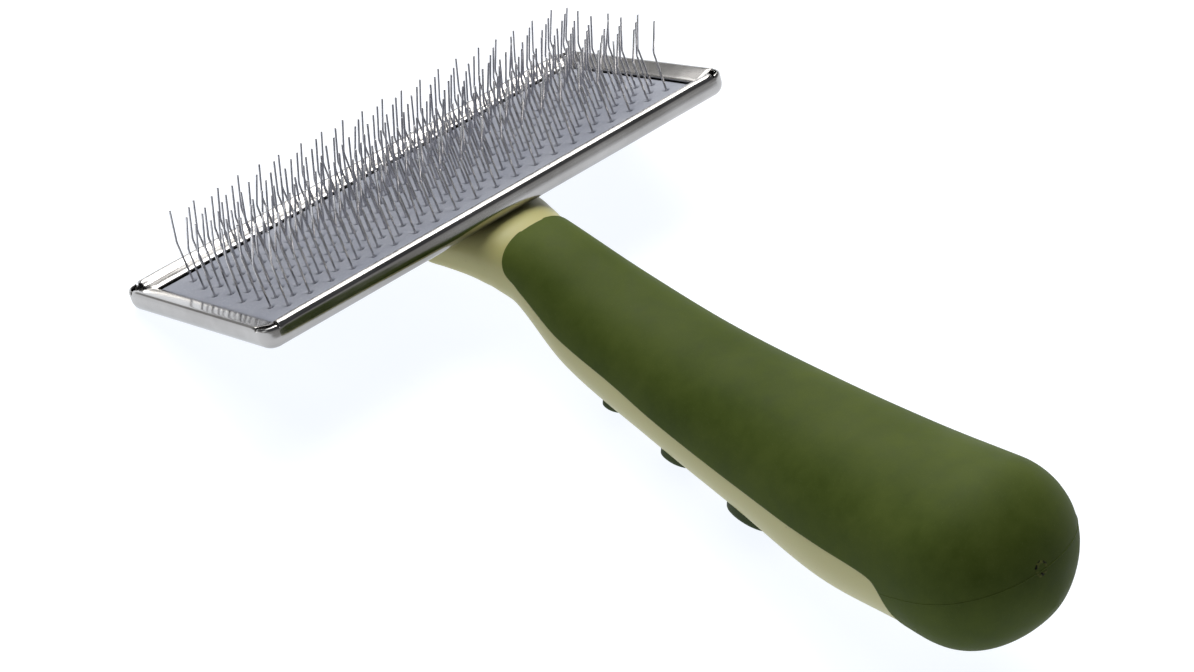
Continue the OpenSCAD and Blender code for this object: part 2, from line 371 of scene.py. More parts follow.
def wire_finish():
    """Drawn steel wire with lengthwise streaks."""
    finish = Finish("steel_wire", Metallic=1.0)
    streak = finish.grain(0.2, detail=2, vector=finish.stretched((1, 1, 0.12)))
    blot = finish.grain(3, detail=2)
    tone = finish.blend(0.5, streak, blot)
    finish.colour(finish.ramp(tone, (0.35, (0.40, 0.40, 0.42)), (0.65, (0.68, 0.67, 0.68))))
    finish.roughness(finish.span(blot, 0.14, 0.28))
    finish.bump((streak, 0.15, 0.02))
    return finish.material


def rivet_finish():
    """Zinc-plated steel, dull and a little mottled."""
    finish = Finish("zinc_plate", Metallic=1.0)
    spangle = finish.cells(1.1)
    grain = finish.grain(0.3, detail=3)
    finish.colour(finish.ramp(spangle, (0.1, (0.50, 0.51, 0.52)), (0.8, (0.64, 0.65, 0.66))))
    finish.roughness(finish.span(grain, 0.28, 0.45))
    finish.bump((grain, 0.15, 0.03))
    return finish.material


def pad_finish():
    """Blue-grey rubber, matt, with a fine cloth-like skin and a little dust."""
    finish = Finish("pad_rubber", Specular_IOR_Level=0.35)
    cloud = finish.grain(11, detail=3, rough=0.6)
    fine = finish.grain(0.35, detail=3)
    base = finish.ramp(cloud, (0.3, (0.180, 0.193, 0.236)), (0.7, (0.230, 0.241, 0.279)))
    dust = finish.ramp(fine, (0.55, (0.0, 0.0, 0.0)), (0.8, (0.10, 0.10, 0.10)))
    finish.colour(finish.blend(1.0, base, dust, "ADD"))
    finish.roughness(finish.span(cloud, 0.42, 0.58))
    finish.bump((finish.grain(5, detail=2), 0.3, 0.15), (fine, 0.25, 0.05))
    return finish.material


def foam_finish():
    """Open-cell foam."""
    finish = Finish("cell_foam", Specular_IOR_Level=0.2)
    cells = finish.cells(0.6)
    finish.colour(finish.ramp(cells, (0.0, (0.34, 0.34, 0.31)), (0.7, (0.66, 0.66, 0.62))))
    finish.roughness(finish.span(cells, 0.8, 0.95, 0.0, 0.8))
    finish.bump((cells, 0.8, 0.3))
    return finish.material


def board_finish():
    """Pressed brown fibre board."""
    finish = Finish("fibre_board", Specular_IOR_Level=0.3)
    fibre = finish.grain(0.5, detail=4, rough=0.7, distortion=1.5, vector=finish.stretched((0.3, 1, 1)))
    finish.colour(finish.ramp(fibre, (0.3, (0.10, 0.065, 0.04)), (0.7, (0.22, 0.155, 0.10))))
    finish.roughness(finish.span(fibre, 0.65, 0.85))
    finish.bump((fibre, 0.5, 0.08))
    return finish.material


def core_finish():
    """Sage-green moulded plastic: satin, with faint flow marks and a fine spark-eroded skin."""
    finish = Finish("sage_plastic", Specular_IOR_Level=0.45, Subsurface_Weight=0.04,
                    Subsurface_Scale=0.002)
    flow = finish.grain(22, detail=2, distortion=0.6, vector=finish.stretched((1, 0.4, 1)))
    fine = finish.grain(0.22, detail=3, rough=0.6)
    base = finish.ramp(flow, (0.3, (0.335, 0.315, 0.120)), (0.7, (0.405, 0.380, 0.165)))
    speck = finish.ramp(finish.grain(0.5, detail=1), (0.74, (0, 0, 0)), (0.84, (0.6, 0.6, 0.6)))
    finish.colour(finish.blend(speck, base, (0.20, 0.17, 0.085)))
    finish.roughness(finish.span(flow, 0.34, 0.46))
    finish.bump((finish.grain(6, detail=1), 0.12, 0.1), (fine, 0.18, 0.02))
    return finish.material


def skin_finish(name, dark, light):
    """Soft dark olive rubber: matt, dusty at grazing angles, with handling marks and a fine grain."""
    finish = Finish(name, Specular_IOR_Level=0.08, Sheen_Weight=0.01, Sheen_Roughness=0.45,
                    Sheen_Tint=(0.70, 0.80, 0.60, 1))
    cloud = finish.grain(26, detail=3, rough=0.55)
    marks = finish.grain(4, detail=4, rough=0.7)
    fine = finish.grain(0.28, detail=3, rough=0.6)
    tone = finish.blend(0.35, cloud, marks)
    base = finish.ramp(tone, (0.36, dark), (0.64, light))
    dust = finish.ramp(fine, (0.60, (0, 0, 0)), (0.80, (0.022, 0.024, 0.016)))
    finish.colour(finish.blend(1.0, base, dust, "ADD"))
    finish.roughness(finish.span(marks, 0.55, 0.70))
    finish.bump((marks, 0.10, 0.06), (fine, 0.35, 0.03))
    return finish.material


def torn_finish():
    """Rubber torn at the mould's gate: paler olive with black pits."""
    finish = Finish("torn_rubber", Specular_IOR_Level=0.10)
    pits = finish.grain(0.75, detail=1)
    finish.colour(finish.ramp(pits, (0.40, (0.004, 0.005, 0.002)), (0.50, (0.070, 0.080, 0.018))))
    finish.roughness(finish.span(pits, 0.6, 0.8))
    finish.bump((pits, 0.8, 0.25))
    return finish.material


chrome = chrome_finish()
wire_steel = wire_finish()
zinc = rivet_finish()
rubber = pad_finish()
foam_cells = foam_finish()
board_fibre = board_finish()
sage = core_finish()
olive = skin_finish("olive_rubber", (0.0355, 0.0535, 0.0054), (0.0615, 0.083, 0.0144))
torn = torn_finish()
dot_olive = skin_finish("dot_rubber", (0.030, 0.044, 0.016), (0.050, 0.064, 0.026))

# ---- Head: pan ----

DX = PAN_L / 2 - CORNER_R
DY = PAN_W / 2 - CORNER_R
SLIT = 0.35
FOLD_DIP = 7


def wall_points():
    """The pan's wall from its back up to the middle of the roll, as outward distance and height."""
    arc = [(CORNER_R - EDGE_R + EDGE_R * math.sin(a), -PAN_H + EDGE_R - EDGE_R * math.cos(a))
           for a in (math.pi / 2 * k / 10 for k in range(11))]
    return arc + [(CORNER_R, -2.2), (CORNER_R, -1.75), (CORNER_R, -ROLL_R)]


def roll_points(end):
    """The rolled edge and its lip down to the pad; end is 1 where the roll is pinched at its cut end."""
    centre = CORNER_R - ROLL_R
    turn = [math.radians(12 * k) for k in range(1, 12)]
    bead = [(centre + ROLL_R * math.cos(a), -ROLL_R + ROLL_R * math.sin(a)) for a in turn]
    lip = [(CORNER_R - 2.48, -0.66), (CORNER_R - 2.72, -0.84), (CORNER_R - 3.05, -0.96),
           (CORNER_R - 3.6, -1.14), (CORNER_R - 4.3, -1.38), (CORNER_R - LIP_W, -1.70)]
    return [(distance, height - 0.10 * end) for distance, height in bead + lip]


def fold_points(end):
    """The folded edge; end runs from 0 along the side to 1 where the fold dips at its cut end."""
    drop = 0.84 + 0.06 * end
    bend = [(CORNER_R - 0.04, -1.0), (CORNER_R - 0.17, -0.72), (CORNER_R - 0.40, -0.52),
            (CORNER_R - 0.72, -0.45)]
    slope = [(CORNER_R - 0.72 - (FOLD_W - 0.72) * t, -0.45 - (0.45 + drop) * t ** (1.2 - 0.2 * end))
             for t in (0.12, 0.3, 0.5, 0.75, 1)]
    return bend + slope


def corner_points():
    """The low lip of a corner between the fold and the roll."""
    return [(CORNER_R - 0.05, -1.0), (CORNER_R - 0.22, -0.72), (CORNER_R - 0.50, -0.58)]


def pan_stations():
    """Places round the pan: corner centre or side point, outward direction, kind and place along the side."""
    stations = []
    for number, (cx, cy) in enumerate(((DX, DY), (-DX, DY), (-DX, -DY), (DX, -DY))):
        start = math.pi / 2 * number
        for k in range(9):
            a = start + math.pi / 2 * k / 8
            stations.append((Vector((cx, cy, 0)), Vector((math.cos(a), math.sin(a), 0)), "corner", 0))
        a = start + math.pi / 2
        out = Vector((math.cos(a), math.sin(a), 0))
        along = Vector((-math.sin(a), math.cos(a), 0))
        long_side = number % 2 == 0
        half = DX if long_side else DY
        middle = out * (DY if long_side else DX)
        steps = 58 if long_side else 26
        for k in range(1, steps):
            t = -half + 2 * half * k / steps
            stations.append((middle + along * t, out, "roll" if long_side else "fold", t))
    return stations


def add_band(bm, row, points_at, shift):
    """An upper band of the pan over a row of wall vertices and their stations, with cut ends."""
    columns = []
    for k, (vertex, (base, out, _, t)) in enumerate(row):
        along = Vector((-out.y, out.x, 0))
        move = along * (shift if k == 0 else -shift if k == len(row) - 1 else 0)
        column = [vertex]
        for distance, height in points_at(t):
            column.append(bm.verts.new(base + out * distance + Vector((0, 0, height)) + move))
        columns.append(column)
    for first, second in zip(columns, columns[1:]):
        bridge(bm, first, second, closed=False)


def build_pan():
    bm = bmesh.new()
    stations = pan_stations()
    wall = wall_points()
    columns = []
    for base, out, *_ in stations:
        column = []
        for distance, height in wall:
            spot = base + out * distance
            dent = 0.02 * (0.5 + 0.5 * ripple(spot.x / 22, spot.y / 22, height / 22))
            column.append(bm.verts.new(spot - out * dent + Vector((0, 0, height))))
        columns.append(column)
    count = len(stations)
    for k in range(count):
        bridge(bm, columns[k], columns[(k + 1) % count], closed=False)
    bm.faces.new([column[0] for column in columns])

    kinds = [station[2] for station in stations]
    top = [column[-1] for column in columns]
    start = 0
    while start < count:
        stop = start
        while stop < count and kinds[stop] == kinds[start]:
            stop += 1
        kind = kinds[start]
        reach = range(start, stop) if kind == "corner" else range(start - 1, stop + 1)
        row = [(top[k % count], stations[k % count]) for k in reach]
        if kind != "corner":
            out = stations[start][1]
            half = DX if kind == "roll" else DY
            ends = [(row[0][1][0], out, kind, -half), (row[-1][1][0], out, kind, half)]
            row[0] = (row[0][0], ends[0])
            row[-1] = (row[-1][0], ends[1])
        if kind == "roll":
            add_band(bm, row, lambda t: roll_points(smooth_step(DX - FOLD_DIP, DX, abs(t))), SLIT)
        elif kind == "fold":
            add_band(bm, row, lambda t: fold_points(smooth_step(DY - FOLD_DIP, DY, abs(t))), SLIT)
        else:
            add_band(bm, row, lambda t: corner_points(), 0.12)
        start = stop
    bmesh.ops.recalc_face_normals(bm, faces=bm.faces)
    if min(bm.faces, key=lambda face: face.calc_center_median().z).normal.z > 0:
        bmesh.ops.reverse_faces(bm, faces=bm.faces)
    piece = make_piece("pan", bm, PLATE, chrome, outward=False, sharp=60)
    add_modifier(piece, "SOLIDIFY", thickness=SHEET * MM, offset=-1, use_even_offset=True)
    soften(piece, 0.07, angle=55, segments=2)
    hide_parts("head_pan")


# ---- Head: pad, foam and board ----

CELL_X = PIN_PITCH / 8
EDGE_I = 84
FACE_X = EDGE_I * CELL_X
CELL_REACH = 3


def row_step(row):
    """How far a row is set over, in eighths of the pin pitch: five eighths more than the last row."""
    return (5 * row + 5) % 8 - 3


def row_y(row):
    return (row - (PIN_ROWS - 1) / 2) * ROW_PITCH


def lattice_y(j):
    return (j / 5 - (PIN_ROWS + 2) / 2) * ROW_PITCH


def pad_height(x, y):
    """Height of the pad's face without its dimples: soft waves and rounded borders."""
    half_y = (PIN_ROWS + 2) / 2 * ROW_PITCH
    border = min(FACE_X - abs(x), half_y - abs(y))
    lip = 0.35 * (1 - smooth_step(-0.1, 0.9, border))
    return PAD_TOP + 0.05 * ripple(x / 9, y / 9, 0, 1) - 0.05 - lip


def build_pad():
    bm = bmesh.new()
    rows_j = (PIN_ROWS + 2) * 5
    pin_cells = {}
    for row in range(PIN_ROWS):
        for pin in range(2 * STAPLES):
            middle = 8 * pin - 8 * STAPLES + 4 + row_step(row)
            pin_cells[(row, middle)] = (middle * CELL_X, row_y(row))
    inside = set()
    covered = set()
    for row, middle in pin_cells:
        j0 = 5 * (row + 1)
        low, high = middle - CELL_REACH, middle + CELL_REACH
        inside.update((i, j) for i in range(low + 1, high) for j in range(j0 + 1, j0 + 5))
        covered.update((i, j) for i in range(low, high) for j in range(j0, j0 + 5))
    grid = {}
    for i in range(-EDGE_I, EDGE_I + 1):
        for j in range(rows_j + 1):
            if (i, j) not in inside:
                x = i * CELL_X
                y = lattice_y(j)
                grid[(i, j)] = bm.verts.new((x, y, pad_height(x, y)))
    for i in range(-EDGE_I, EDGE_I):
        for j in range(rows_j):
            if (i, j) not in covered:
                bm.faces.new((grid[(i, j)], grid[(i + 1, j)], grid[(i + 1, j + 1)], grid[(i, j + 1)]))

    steps = [(DIMPLE_R, 0.02), (0.95, 0.08), (0.72, 0.18), (0.58, DIMPLE_DEPTH), (HOLE_R, 0.5),
             (0.44, 0.85), (0.42, 1.25)]
    for (row, middle), (px, py) in pin_cells.items():
        j0 = 5 * (row + 1)
        low, high = middle - CELL_REACH, middle + CELL_REACH
        rim = [(i, j0) for i in range(low, high)] + [(high, j0 + k) for k in range(5)]
        rim += [(i, j0 + 5) for i in range(high, low, -1)] + [(low, j0 + 5 - k) for k in range(5)]
        loop = [grid[key] for key in rim]
        turns = [math.atan2(v.co.y - py, v.co.x - px) for v in loop]
        for radius, depth in steps:
            lean = math.tan(SHANK_LEAN) * (PAD_TOP - depth - CROWN_Z)
            ring = []
            for a in turns:
                x = px + radius * math.cos(a)
                y = py + lean + radius * math.sin(a)
                ring.append(bm.verts.new((x, y, pad_height(x, y) - depth)))
            bridge(bm, loop, ring)
            loop = ring
        bm.faces.new(loop)

    border = [(i, 0) for i in range(-EDGE_I, EDGE_I)] + [(EDGE_I, j) for j in range(rows_j)]
    border += [(i, rows_j) for i in range(EDGE_I, -EDGE_I, -1)]
    border += [(-EDGE_I, j) for j in range(rows_j, 0, -1)]
    loop = [grid[key] for key in border]
    for inset, height in ((0.0, PAD_TOP - 0.7), (0.0, PAD_TOP - PAD_T + 0.2), (0.2, PAD_TOP - PAD_T)):
        ring = []
        for v in loop:
            x = v.co.x - math.copysign(inset, v.co.x)
            y = v.co.y - math.copysign(inset, v.co.y)
            ring.append(bm.verts.new((x, y, height)))
        bridge(bm, loop, ring)
        loop = ring
    bm.faces.new(loop)
    piece = make_piece("pad_face", bm, PLATE, rubber, sharp=70)
    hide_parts("rubber_pad")


def slab_rings(half_x, half_y, low, high, bulge):
    """Rings of a soft slab with rounded corners and edges."""
    rings = []
    for k in range(7):
        t = -1 + k / 3
        inset = bulge * (1 - math.sqrt(max(1 - t * t, 0)))
        ring = []
        for cx, cy, start in ((1, 1, 0), (-1, 1, 90), (-1, -1, 180), (1, -1, 270)):
            for step in range(7):
                a = math.radians(start + 15 * step)
                ring.append(((half_x - 3 - inset) * cx + 3 * math.cos(a),
                             (half_y - 3 - inset) * cy + 3 * math.sin(a),
                             (low + high) / 2 + (high - low) / 2 * math.sin(t * math.pi / 2)))
        rings.append(ring)
    return rings


def build_foam():
    bm = bmesh.new()
    loft(bm, slab_rings(DX, DY, BOARD_TOP, PAD_TOP - PAD_T - 0.02, 0.5))
    piece = make_piece("foam_layer", bm, PLATE, foam_cells)
    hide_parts("foam_cushion")


# ---- Pins ----

def pin_corners(rng, x, y):
    """Tip, knee and base of one pin, each pin a little out of true."""
    lean = SHANK_LEAN + math.radians(rng.gauss(0, 0.9))
    sway = math.radians(rng.gauss(0, 0.9))
    hook = POINT_LEAN + math.radians(rng.gauss(0, 1.8))
    twist = math.radians(rng.gauss(0, 1.6))
    base = Vector((x, y, CROWN_Z))
    up = Vector((math.sin(sway), math.sin(lean), math.cos(lean)))
    knee = base + up.normalized() * (SHANK + rng.uniform(-0.12, 0.12))
    end = Vector((math.sin(twist), -math.sin(hook), math.cos(hook)))
    tip = knee + end.normalized() * (POINT + rng.uniform(-0.25, 0.1))
    return tip, knee, base


def build_wires():
    rng = random.Random(11)
    for row in range(PIN_ROWS):
        bm = bmesh.new()
        for staple in range(STAPLES):
            x = (2 * staple - STAPLES + 0.5) * PIN_PITCH + row_step(row) * CELL_X
            y = row_y(row)
            tip_a, knee_a, base_a = pin_corners(rng, x, y)
            tip_b, knee_b, base_b = pin_corners(rng, x + PIN_PITCH, y)
            corners = [tip_a, knee_a, base_a, base_b, knee_b, tip_b]
            bends = [KNEE_R, CROWN_BEND_R, CROWN_BEND_R, KNEE_R]
            tube(bm, rounded_path(corners, bends), WIRE_R)
        number = f"{row + 1:02d}"
        piece = make_piece(f"wire_row_{number}", bm, PLATE, wire_steel,
                           body=f"wires_{number}", sharp=80)
        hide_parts(f"pin_row_{number}")


# ---- Fasteners ----

def build_fasteners():
    tail_z = SEAT_Z - WASHER_T
    head_z = -PAN_H + SHEET
    rivet = [(0.05, head_z + 0.9), (1.3, head_z + 0.86), (2.4, head_z + 0.65), (3.1, head_z + 0.3),
             (3.4, head_z), (RIVET_R, head_z), (RIVET_R, tail_z), (2.75, tail_z - 0.02),
             (2.9, tail_z - 0.25), (2.6, tail_z - 0.55), (1.7, tail_z - 0.78), (0.9, tail_z - 0.80),
             (0.6, tail_z - 0.62), (0.05, tail_z - 0.58)]
    rivets = bmesh.new()
    washers = bmesh.new()
    for x in (-RIVET_X, RIVET_X):
        centre = Vector((x, RIVET_Y, 0))
        lathe(rivets, rivet, centre)
        sides = 48
        outline = [(2.1, tail_z), (WASHER_R - 0.12, tail_z), (WASHER_R, tail_z + 0.12),
                   (WASHER_R, SEAT_Z - 0.1), (WASHER_R - 0.1, SEAT_Z), (2.1, SEAT_Z)]
        loops = []
        for k in range(sides):
            a = 2 * math.pi * k / sides
            loops.append([washers.verts.new(centre + Vector((r * math.cos(a), r * math.sin(a), z)))
                          for r, z in outline])
        for k in range(sides):
            bridge(washers, loops[k], loops[(k + 1) % sides])
    piece = make_piece("rivets", rivets, PLATE, zinc)
    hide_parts("head_rivets")
    piece = make_piece("washers", washers, PLATE, zinc)
    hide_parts("rivet_washers")


# ---- Handle: sections ----

TONGUE_FRONT = 8
TONGUE_HALF = 14
TONGUE_R = 7
TONGUE_TOP = -PAN_H - 0.02
TONGUE_LOW = -PAN_H - 3.4
GRIP_NOSE = 30.5
NOSE_L = 8.5
NOSE_W = 11.4
NOSE_POWER = 2.6
NOSE_BLEND = 0.22
EDGE_ROUND = 0.45

# Neck sections: station, top point, bottom point, half width, roundness; the top follows the pan's back
NECK_KEYS = [
    (-1, plate_point(1, TONGUE_TOP), plate_point(1, TONGUE_LOW), 14, 8),
    (4, plate_point(-4, TONGUE_TOP), plate_point(-3.5, TONGUE_LOW), 14, 8),
    (8, plate_point(-8, TONGUE_TOP), (-10.2, -7.3), 13.8, 5),
    (12, plate_point(-12, TONGUE_TOP), (-13.5, -7.7), 13.4, 4),
    (17, plate_point(-17, TONGUE_TOP), (-18, -7.3), 12.5, 3.2),
    (22.5, plate_point(-22.5, TONGUE_TOP), (-23, -7.2), 11.4, 2.7),
    (26, (-25.7, 6.2), (-26.5, -7.5), 10.7, 2.4),
    (30, (-29.7, 7.3), (-30.3, -8.0), 10.2, 2.25)]
KEYS = [(station, *top, *low, half, power) for station, top, low, half, power in NECK_KEYS]
KEYS += [(d, -d, centre + height, -d, centre - height, half, SECTION_POWER)
         for d, centre, half, height in HANDLE_KEYS]

# Height of the two-colour joint over the middle of a section, as a share of the half height
JOINT_KEYS = [(30, 0.10), (45, 0.11), (64, 0.15), (78, 0.07), (98, 0.04), (113, 0.08), (123, 0.10),
              (133, 0.04), (136.5, -0.08), (140.5, -0.48), (145.5, -1.0), (150, -1.0)]


def smooth_between(keys, x):
    """A smooth curve through keys of a place and its values."""
    index = 0
    while index < len(keys) - 2 and x >= keys[index + 1][0]:
        index += 1
    start, end = keys[index], keys[index + 1]
    width = end[0] - start[0]
    t = min(max((x - start[0]) / width, 0), 1)

    def slope(k, column):
        low, high = keys[max(k - 1, 0)], keys[min(k + 1, len(keys) - 1)]
        return (high[column] - low[column]) / (high[0] - low[0]) * width

    values = []
    for column in range(1, len(start)):
        p, q = start[column], end[column]
        m, n = slope(index, column), slope(index + 1, column)
        values.append((2 * t ** 3 - 3 * t ** 2 + 1) * p + (t ** 3 - 2 * t ** 2 + t) * m
                      + (3 * t ** 2 - 2 * t ** 3) * q + (t ** 3 - t ** 2) * n)
    return values


def section(d):
    """Top and bottom of the handle's side view, half width and roundness at a station."""
    if d <= BUTT_START:
        top_y, top_z, low_y, low_z, half, power = smooth_between(KEYS, d)
        return Vector((0, top_y, top_z)), Vector((0, low_y, low_z)), half, power
    before, last = HANDLE_KEYS[-2:]
    distance, centre, half, height = last
    s = min((d - BUTT_START) / (HANDLE_L - BUTT_START), 1)
    f = max(1 - s ** BUTT_POWER, 0) ** (1 / BUTT_BLEND)
    climb = (centre - before[1]) / (distance - before[0]) * (HANDLE_L - BUTT_START) * s * (1 - s) ** 3
    middle = Vector((0, -d, centre + climb + BUTT_RISE * s * s))
    up = Vector((0, 0, height * f))
    return middle + up, middle - up, half * f, SECTION_POWER


def surface(d, angle, grow=0.0):
    """The handle's surface at a station and an angle from the top, grown by a distance."""
    top, low, half, power = section(d)
    middle = (top + low) / 2
    up = (top - low) / 2
    height = up.length
    up = up * (max(height + grow, 0.02) / max(height, 0.02))
    sine, cosine = math.sin(angle), math.cos(angle)
    across = math.copysign(abs(sine) ** (2 / power), sine) * max(half + grow, 0.02)
    rise = math.copysign(abs(cosine) ** (2 / power), cosine)
    return middle + Vector((across, 0, 0)) + up * rise


def surface_normal(d, angle):
    """Outward direction of the handle's surface."""
    step = 0.02
    along = surface(d + step, angle) - surface(d - step, angle)
    round_ = surface(d, angle + step / 10) - surface(d, angle - step / 10)
    return round_.cross(along).normalized() * -1


def angle_at_height(share, power):
    """Angle from the top where the surface is at a share of the half height over the middle."""
    return math.acos(math.copysign(min(abs(share), 1) ** (power / 2), share))


def skin_reach(d):
    """How far down each side the skin goes at a station, as an angle from the top."""
    half, power = section(d)[2:]
    reach = angle_at_height(max(smooth_between(JOINT_KEYS, d)[0], -1), power)
    nose_end = GRIP_NOSE + NOSE_L
    if d < nose_end:
        width = NOSE_W * max(1 - ((nose_end - d) / NOSE_L) ** NOSE_POWER, 0) ** (1 / NOSE_POWER)
        nose = width / half * math.pi / 2 * (1 - 0.12 * width / half)
        gap = max(NOSE_BLEND - abs(reach - nose), 0) / NOSE_BLEND * smooth_step(nose_end, nose_end - 3, d)
        reach = min(reach, nose) - NOSE_BLEND * gap * gap / 4
    return max(reach, 0.002)


def steps_between(low, high, size):
    count = max(round((high - low) / size), 1)
    return [low + (high - low) * k / count for k in range(count)]


def butt_steps(count, reach=1.0):
    return [BUTT_START + (HANDLE_L - BUTT_START) * math.sin(math.pi / 2 * k / count) * reach
            for k in range(count)]


# ---- Handle: core ----

def core_ring(d, sides=96):
    """A section of the core, cut back where the skin covers it."""
    reach = skin_reach(d - 1) if d > GRIP_NOSE + 1 else 0
    covered = smooth_step(GRIP_NOSE + 2, GRIP_NOSE + 4.5, d)
    shallow = SINK * smooth_step(GRIP_NOSE - 4, GRIP_NOSE - 1, d)
    ring = []
    for k in range(sides):
        angle = math.pi * (2 * k / sides - 1)
        under = covered * (1 - smooth_step(reach - 0.16, reach - 0.08, abs(angle)))
        ring.append(surface(d, angle, -shallow - (SKIN_T - SINK) * under))
    return ring


def tongue_ring(y, sides=96):
    """A section of the rounded front of the tongue."""
    edge = min((TONGUE_FRONT - y) / 0.7, 1)
    inset = 0.7 * (1 - math.sqrt(max(1 - (1 - edge) ** 2, 0)))
    half = TONGUE_HALF - TONGUE_R + math.sqrt(max(TONGUE_R ** 2 - max(y - 1, 0) ** 2, 0)) - inset
    top = Vector((0, *plate_point(y, TONGUE_TOP - inset)))
    low = Vector((0, *plate_point(y, TONGUE_LOW + inset)))
    ring = []
    for k in range(sides):
        angle = math.pi * (2 * k / sides - 1)
        sine, cosine = math.sin(angle), math.cos(angle)
        across = math.copysign(abs(sine) ** 0.25, sine) * half
        rise = math.copysign(abs(cosine) ** 0.25, cosine)
        ring.append((top + low) / 2 + Vector((across, 0, 0)) + (top - low) / 2 * rise)
    return ring


def build_core():
    bm = bmesh.new()
    front = [TONGUE_FRONT - TONGUE_R * (1 - math.cos(math.pi / 2 * k / 12)) for k in range(12)]
    rings = [tongue_ring(y) for y in front]
    stations = steps_between(-1, 20, 1.0) + steps_between(20, 42, 0.7)
    stations += steps_between(42, 128, 2.0) + steps_between(128, BUTT_START, 0.8)
    rings += [core_ring(d) for d in stations]
    rings += [core_ring(d) for d in butt_steps(14, reach=0.93)]
    loft(bm, rings)
    piece = make_piece("handle_body", bm, HANDLE, sage, sharp=50)

    pockets = bmesh.new()
    for x in (-RIVET_X, RIVET_X):
        lathe(pockets, [(4.3, SEAT_Z - 20), (4.3, SEAT_Z)], Vector((x, RIVET_Y, 0)), sides=64)
    cutter = make_piece("pockets", pockets, PLATE, sage)
    add_modifier(piece, "BOOLEAN", object=cutter, operation="DIFFERENCE", solver="EXACT")
    bpy.data.objects.remove(cutter)
    piece.data.shade_smooth()
    piece.data.set_sharp_from_angle(angle=math.radians(50))
    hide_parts("handle_core")


# ---- Handle: skin, parting line, gate mark and dots ----

# Where the two-colour joint drops away, and a place past it, where the skin goes all round the butt
JOINT_DROP = 130
JOINT_END = 148


def build_skin():
    bm = bmesh.new()
    across = 72
    nose_end = GRIP_NOSE + NOSE_L
    stations = [GRIP_NOSE + NOSE_L * (1 - math.cos(math.pi / 2 * k / 25)) for k in range(1, 25)]
    stations += steps_between(nose_end, JOINT_DROP, 1.6) + steps_between(JOINT_DROP, BUTT_START, 0.5)
    stations += steps_between(BUTT_START, JOINT_END, 0.6)
    stations += [d for d in butt_steps(40) if d > JOINT_END + 0.3] + [HANDLE_L - 0.01]
    columns = []
    for d in stations:
        reach = skin_reach(d)
        shares = [2 * k / across - 1 for k in range(across + 1)]
        angles = [reach * (0.55 * t + 0.45 * math.sin(math.pi / 2 * t)) for t in shares]
        columns.append([bm.verts.new(surface(d, angle)) for angle in angles])
    for first, second in zip(columns, columns[1:]):
        bridge(bm, first, second, closed=False)
    bm.faces.new(columns[-1])
    bmesh.ops.remove_doubles(bm, verts=bm.verts, dist=0.003)
    bmesh.ops.recalc_face_normals(bm, faces=bm.faces)
    if max(bm.faces, key=lambda face: face.calc_center_median().z).normal.z < 0:
        bmesh.ops.reverse_faces(bm, faces=bm.faces)
    bm.normal_update()

    border = [v for v in bm.verts if v.is_boundary]
    tree = kdtree.KDTree(len(border))
    for k, v in enumerate(border):
        tree.insert(v.co, k)
    tree.balance()
    moves = []
    for v in bm.verts:
        gap = tree.find(v.co)[2]
        if gap < EDGE_ROUND:
            sunk = EDGE_ROUND - math.sqrt(max(EDGE_ROUND ** 2 - (EDGE_ROUND - gap) ** 2, 0))
            moves.append((v, v.normal * -sunk))
    # The inner face takes its directions before the edge is rounded, so that it can't fold there
    outer_faces = list(bm.faces)
    rim = [edge.link_loops[0] for edge in bm.edges if edge.is_boundary]
    inner = {v: bm.verts.new(v.co - v.normal * (SKIN_T - SKIN_GAP)) for v in list(bm.verts)}
    for face in outer_faces:
        bm.faces.new([inner[v] for v in reversed(face.verts)])
    for start, end in [(loop.vert, loop.link_loop_next.vert) for loop in rim]:
        bm.faces.new((end, start, inner[start], inner[end]))
    for v, move in moves:
        v.co += move
    piece = make_piece("grip", bm, HANDLE, olive, outward=False, sharp=60)
    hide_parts("grip_skin")


PARTING_START = 137.6
PARTING_LOW = 8.6
PARTING_RISE = 0.565


def parting_angle(d):
    """Angle from the top where the mould's parting plane meets the butt, or None above it."""
    top, low, _, power = section(d)
    height = PARTING_LOW + PARTING_RISE * (d - BUTT_START)
    share = (height - (top.z + low.z) / 2) / max((top.z - low.z) / 2, 0.01)
    if share >= 1:
        return None
    return angle_at_height(share, power)


def parting_end():
    """The station where the parting plane meets the middle of the butt."""
    low, high = BUTT_START, HANDLE_L
    for _ in range(40):
        middle = (low + high) / 2
        if parting_angle(middle) is None:
            high = middle
        else:
            low = middle
    return low


def build_parting_line():
    bm = bmesh.new()
    end = parting_end()
    count = 70
    stations = [PARTING_START + (end - PARTING_START) * math.sin(math.pi / 2 * k / count)
                for k in range(count + 1)]
    one_side = [surface(d, parting_angle(d), -0.07) for d in stations]
    other_side = [Vector((-p.x, p.y, p.z)) for p in reversed(one_side[:-1])]
    tube(bm, one_side + other_side, 0.13, sides=8)
    make_piece("parting_line", bm, HANDLE, olive, sharp=80)


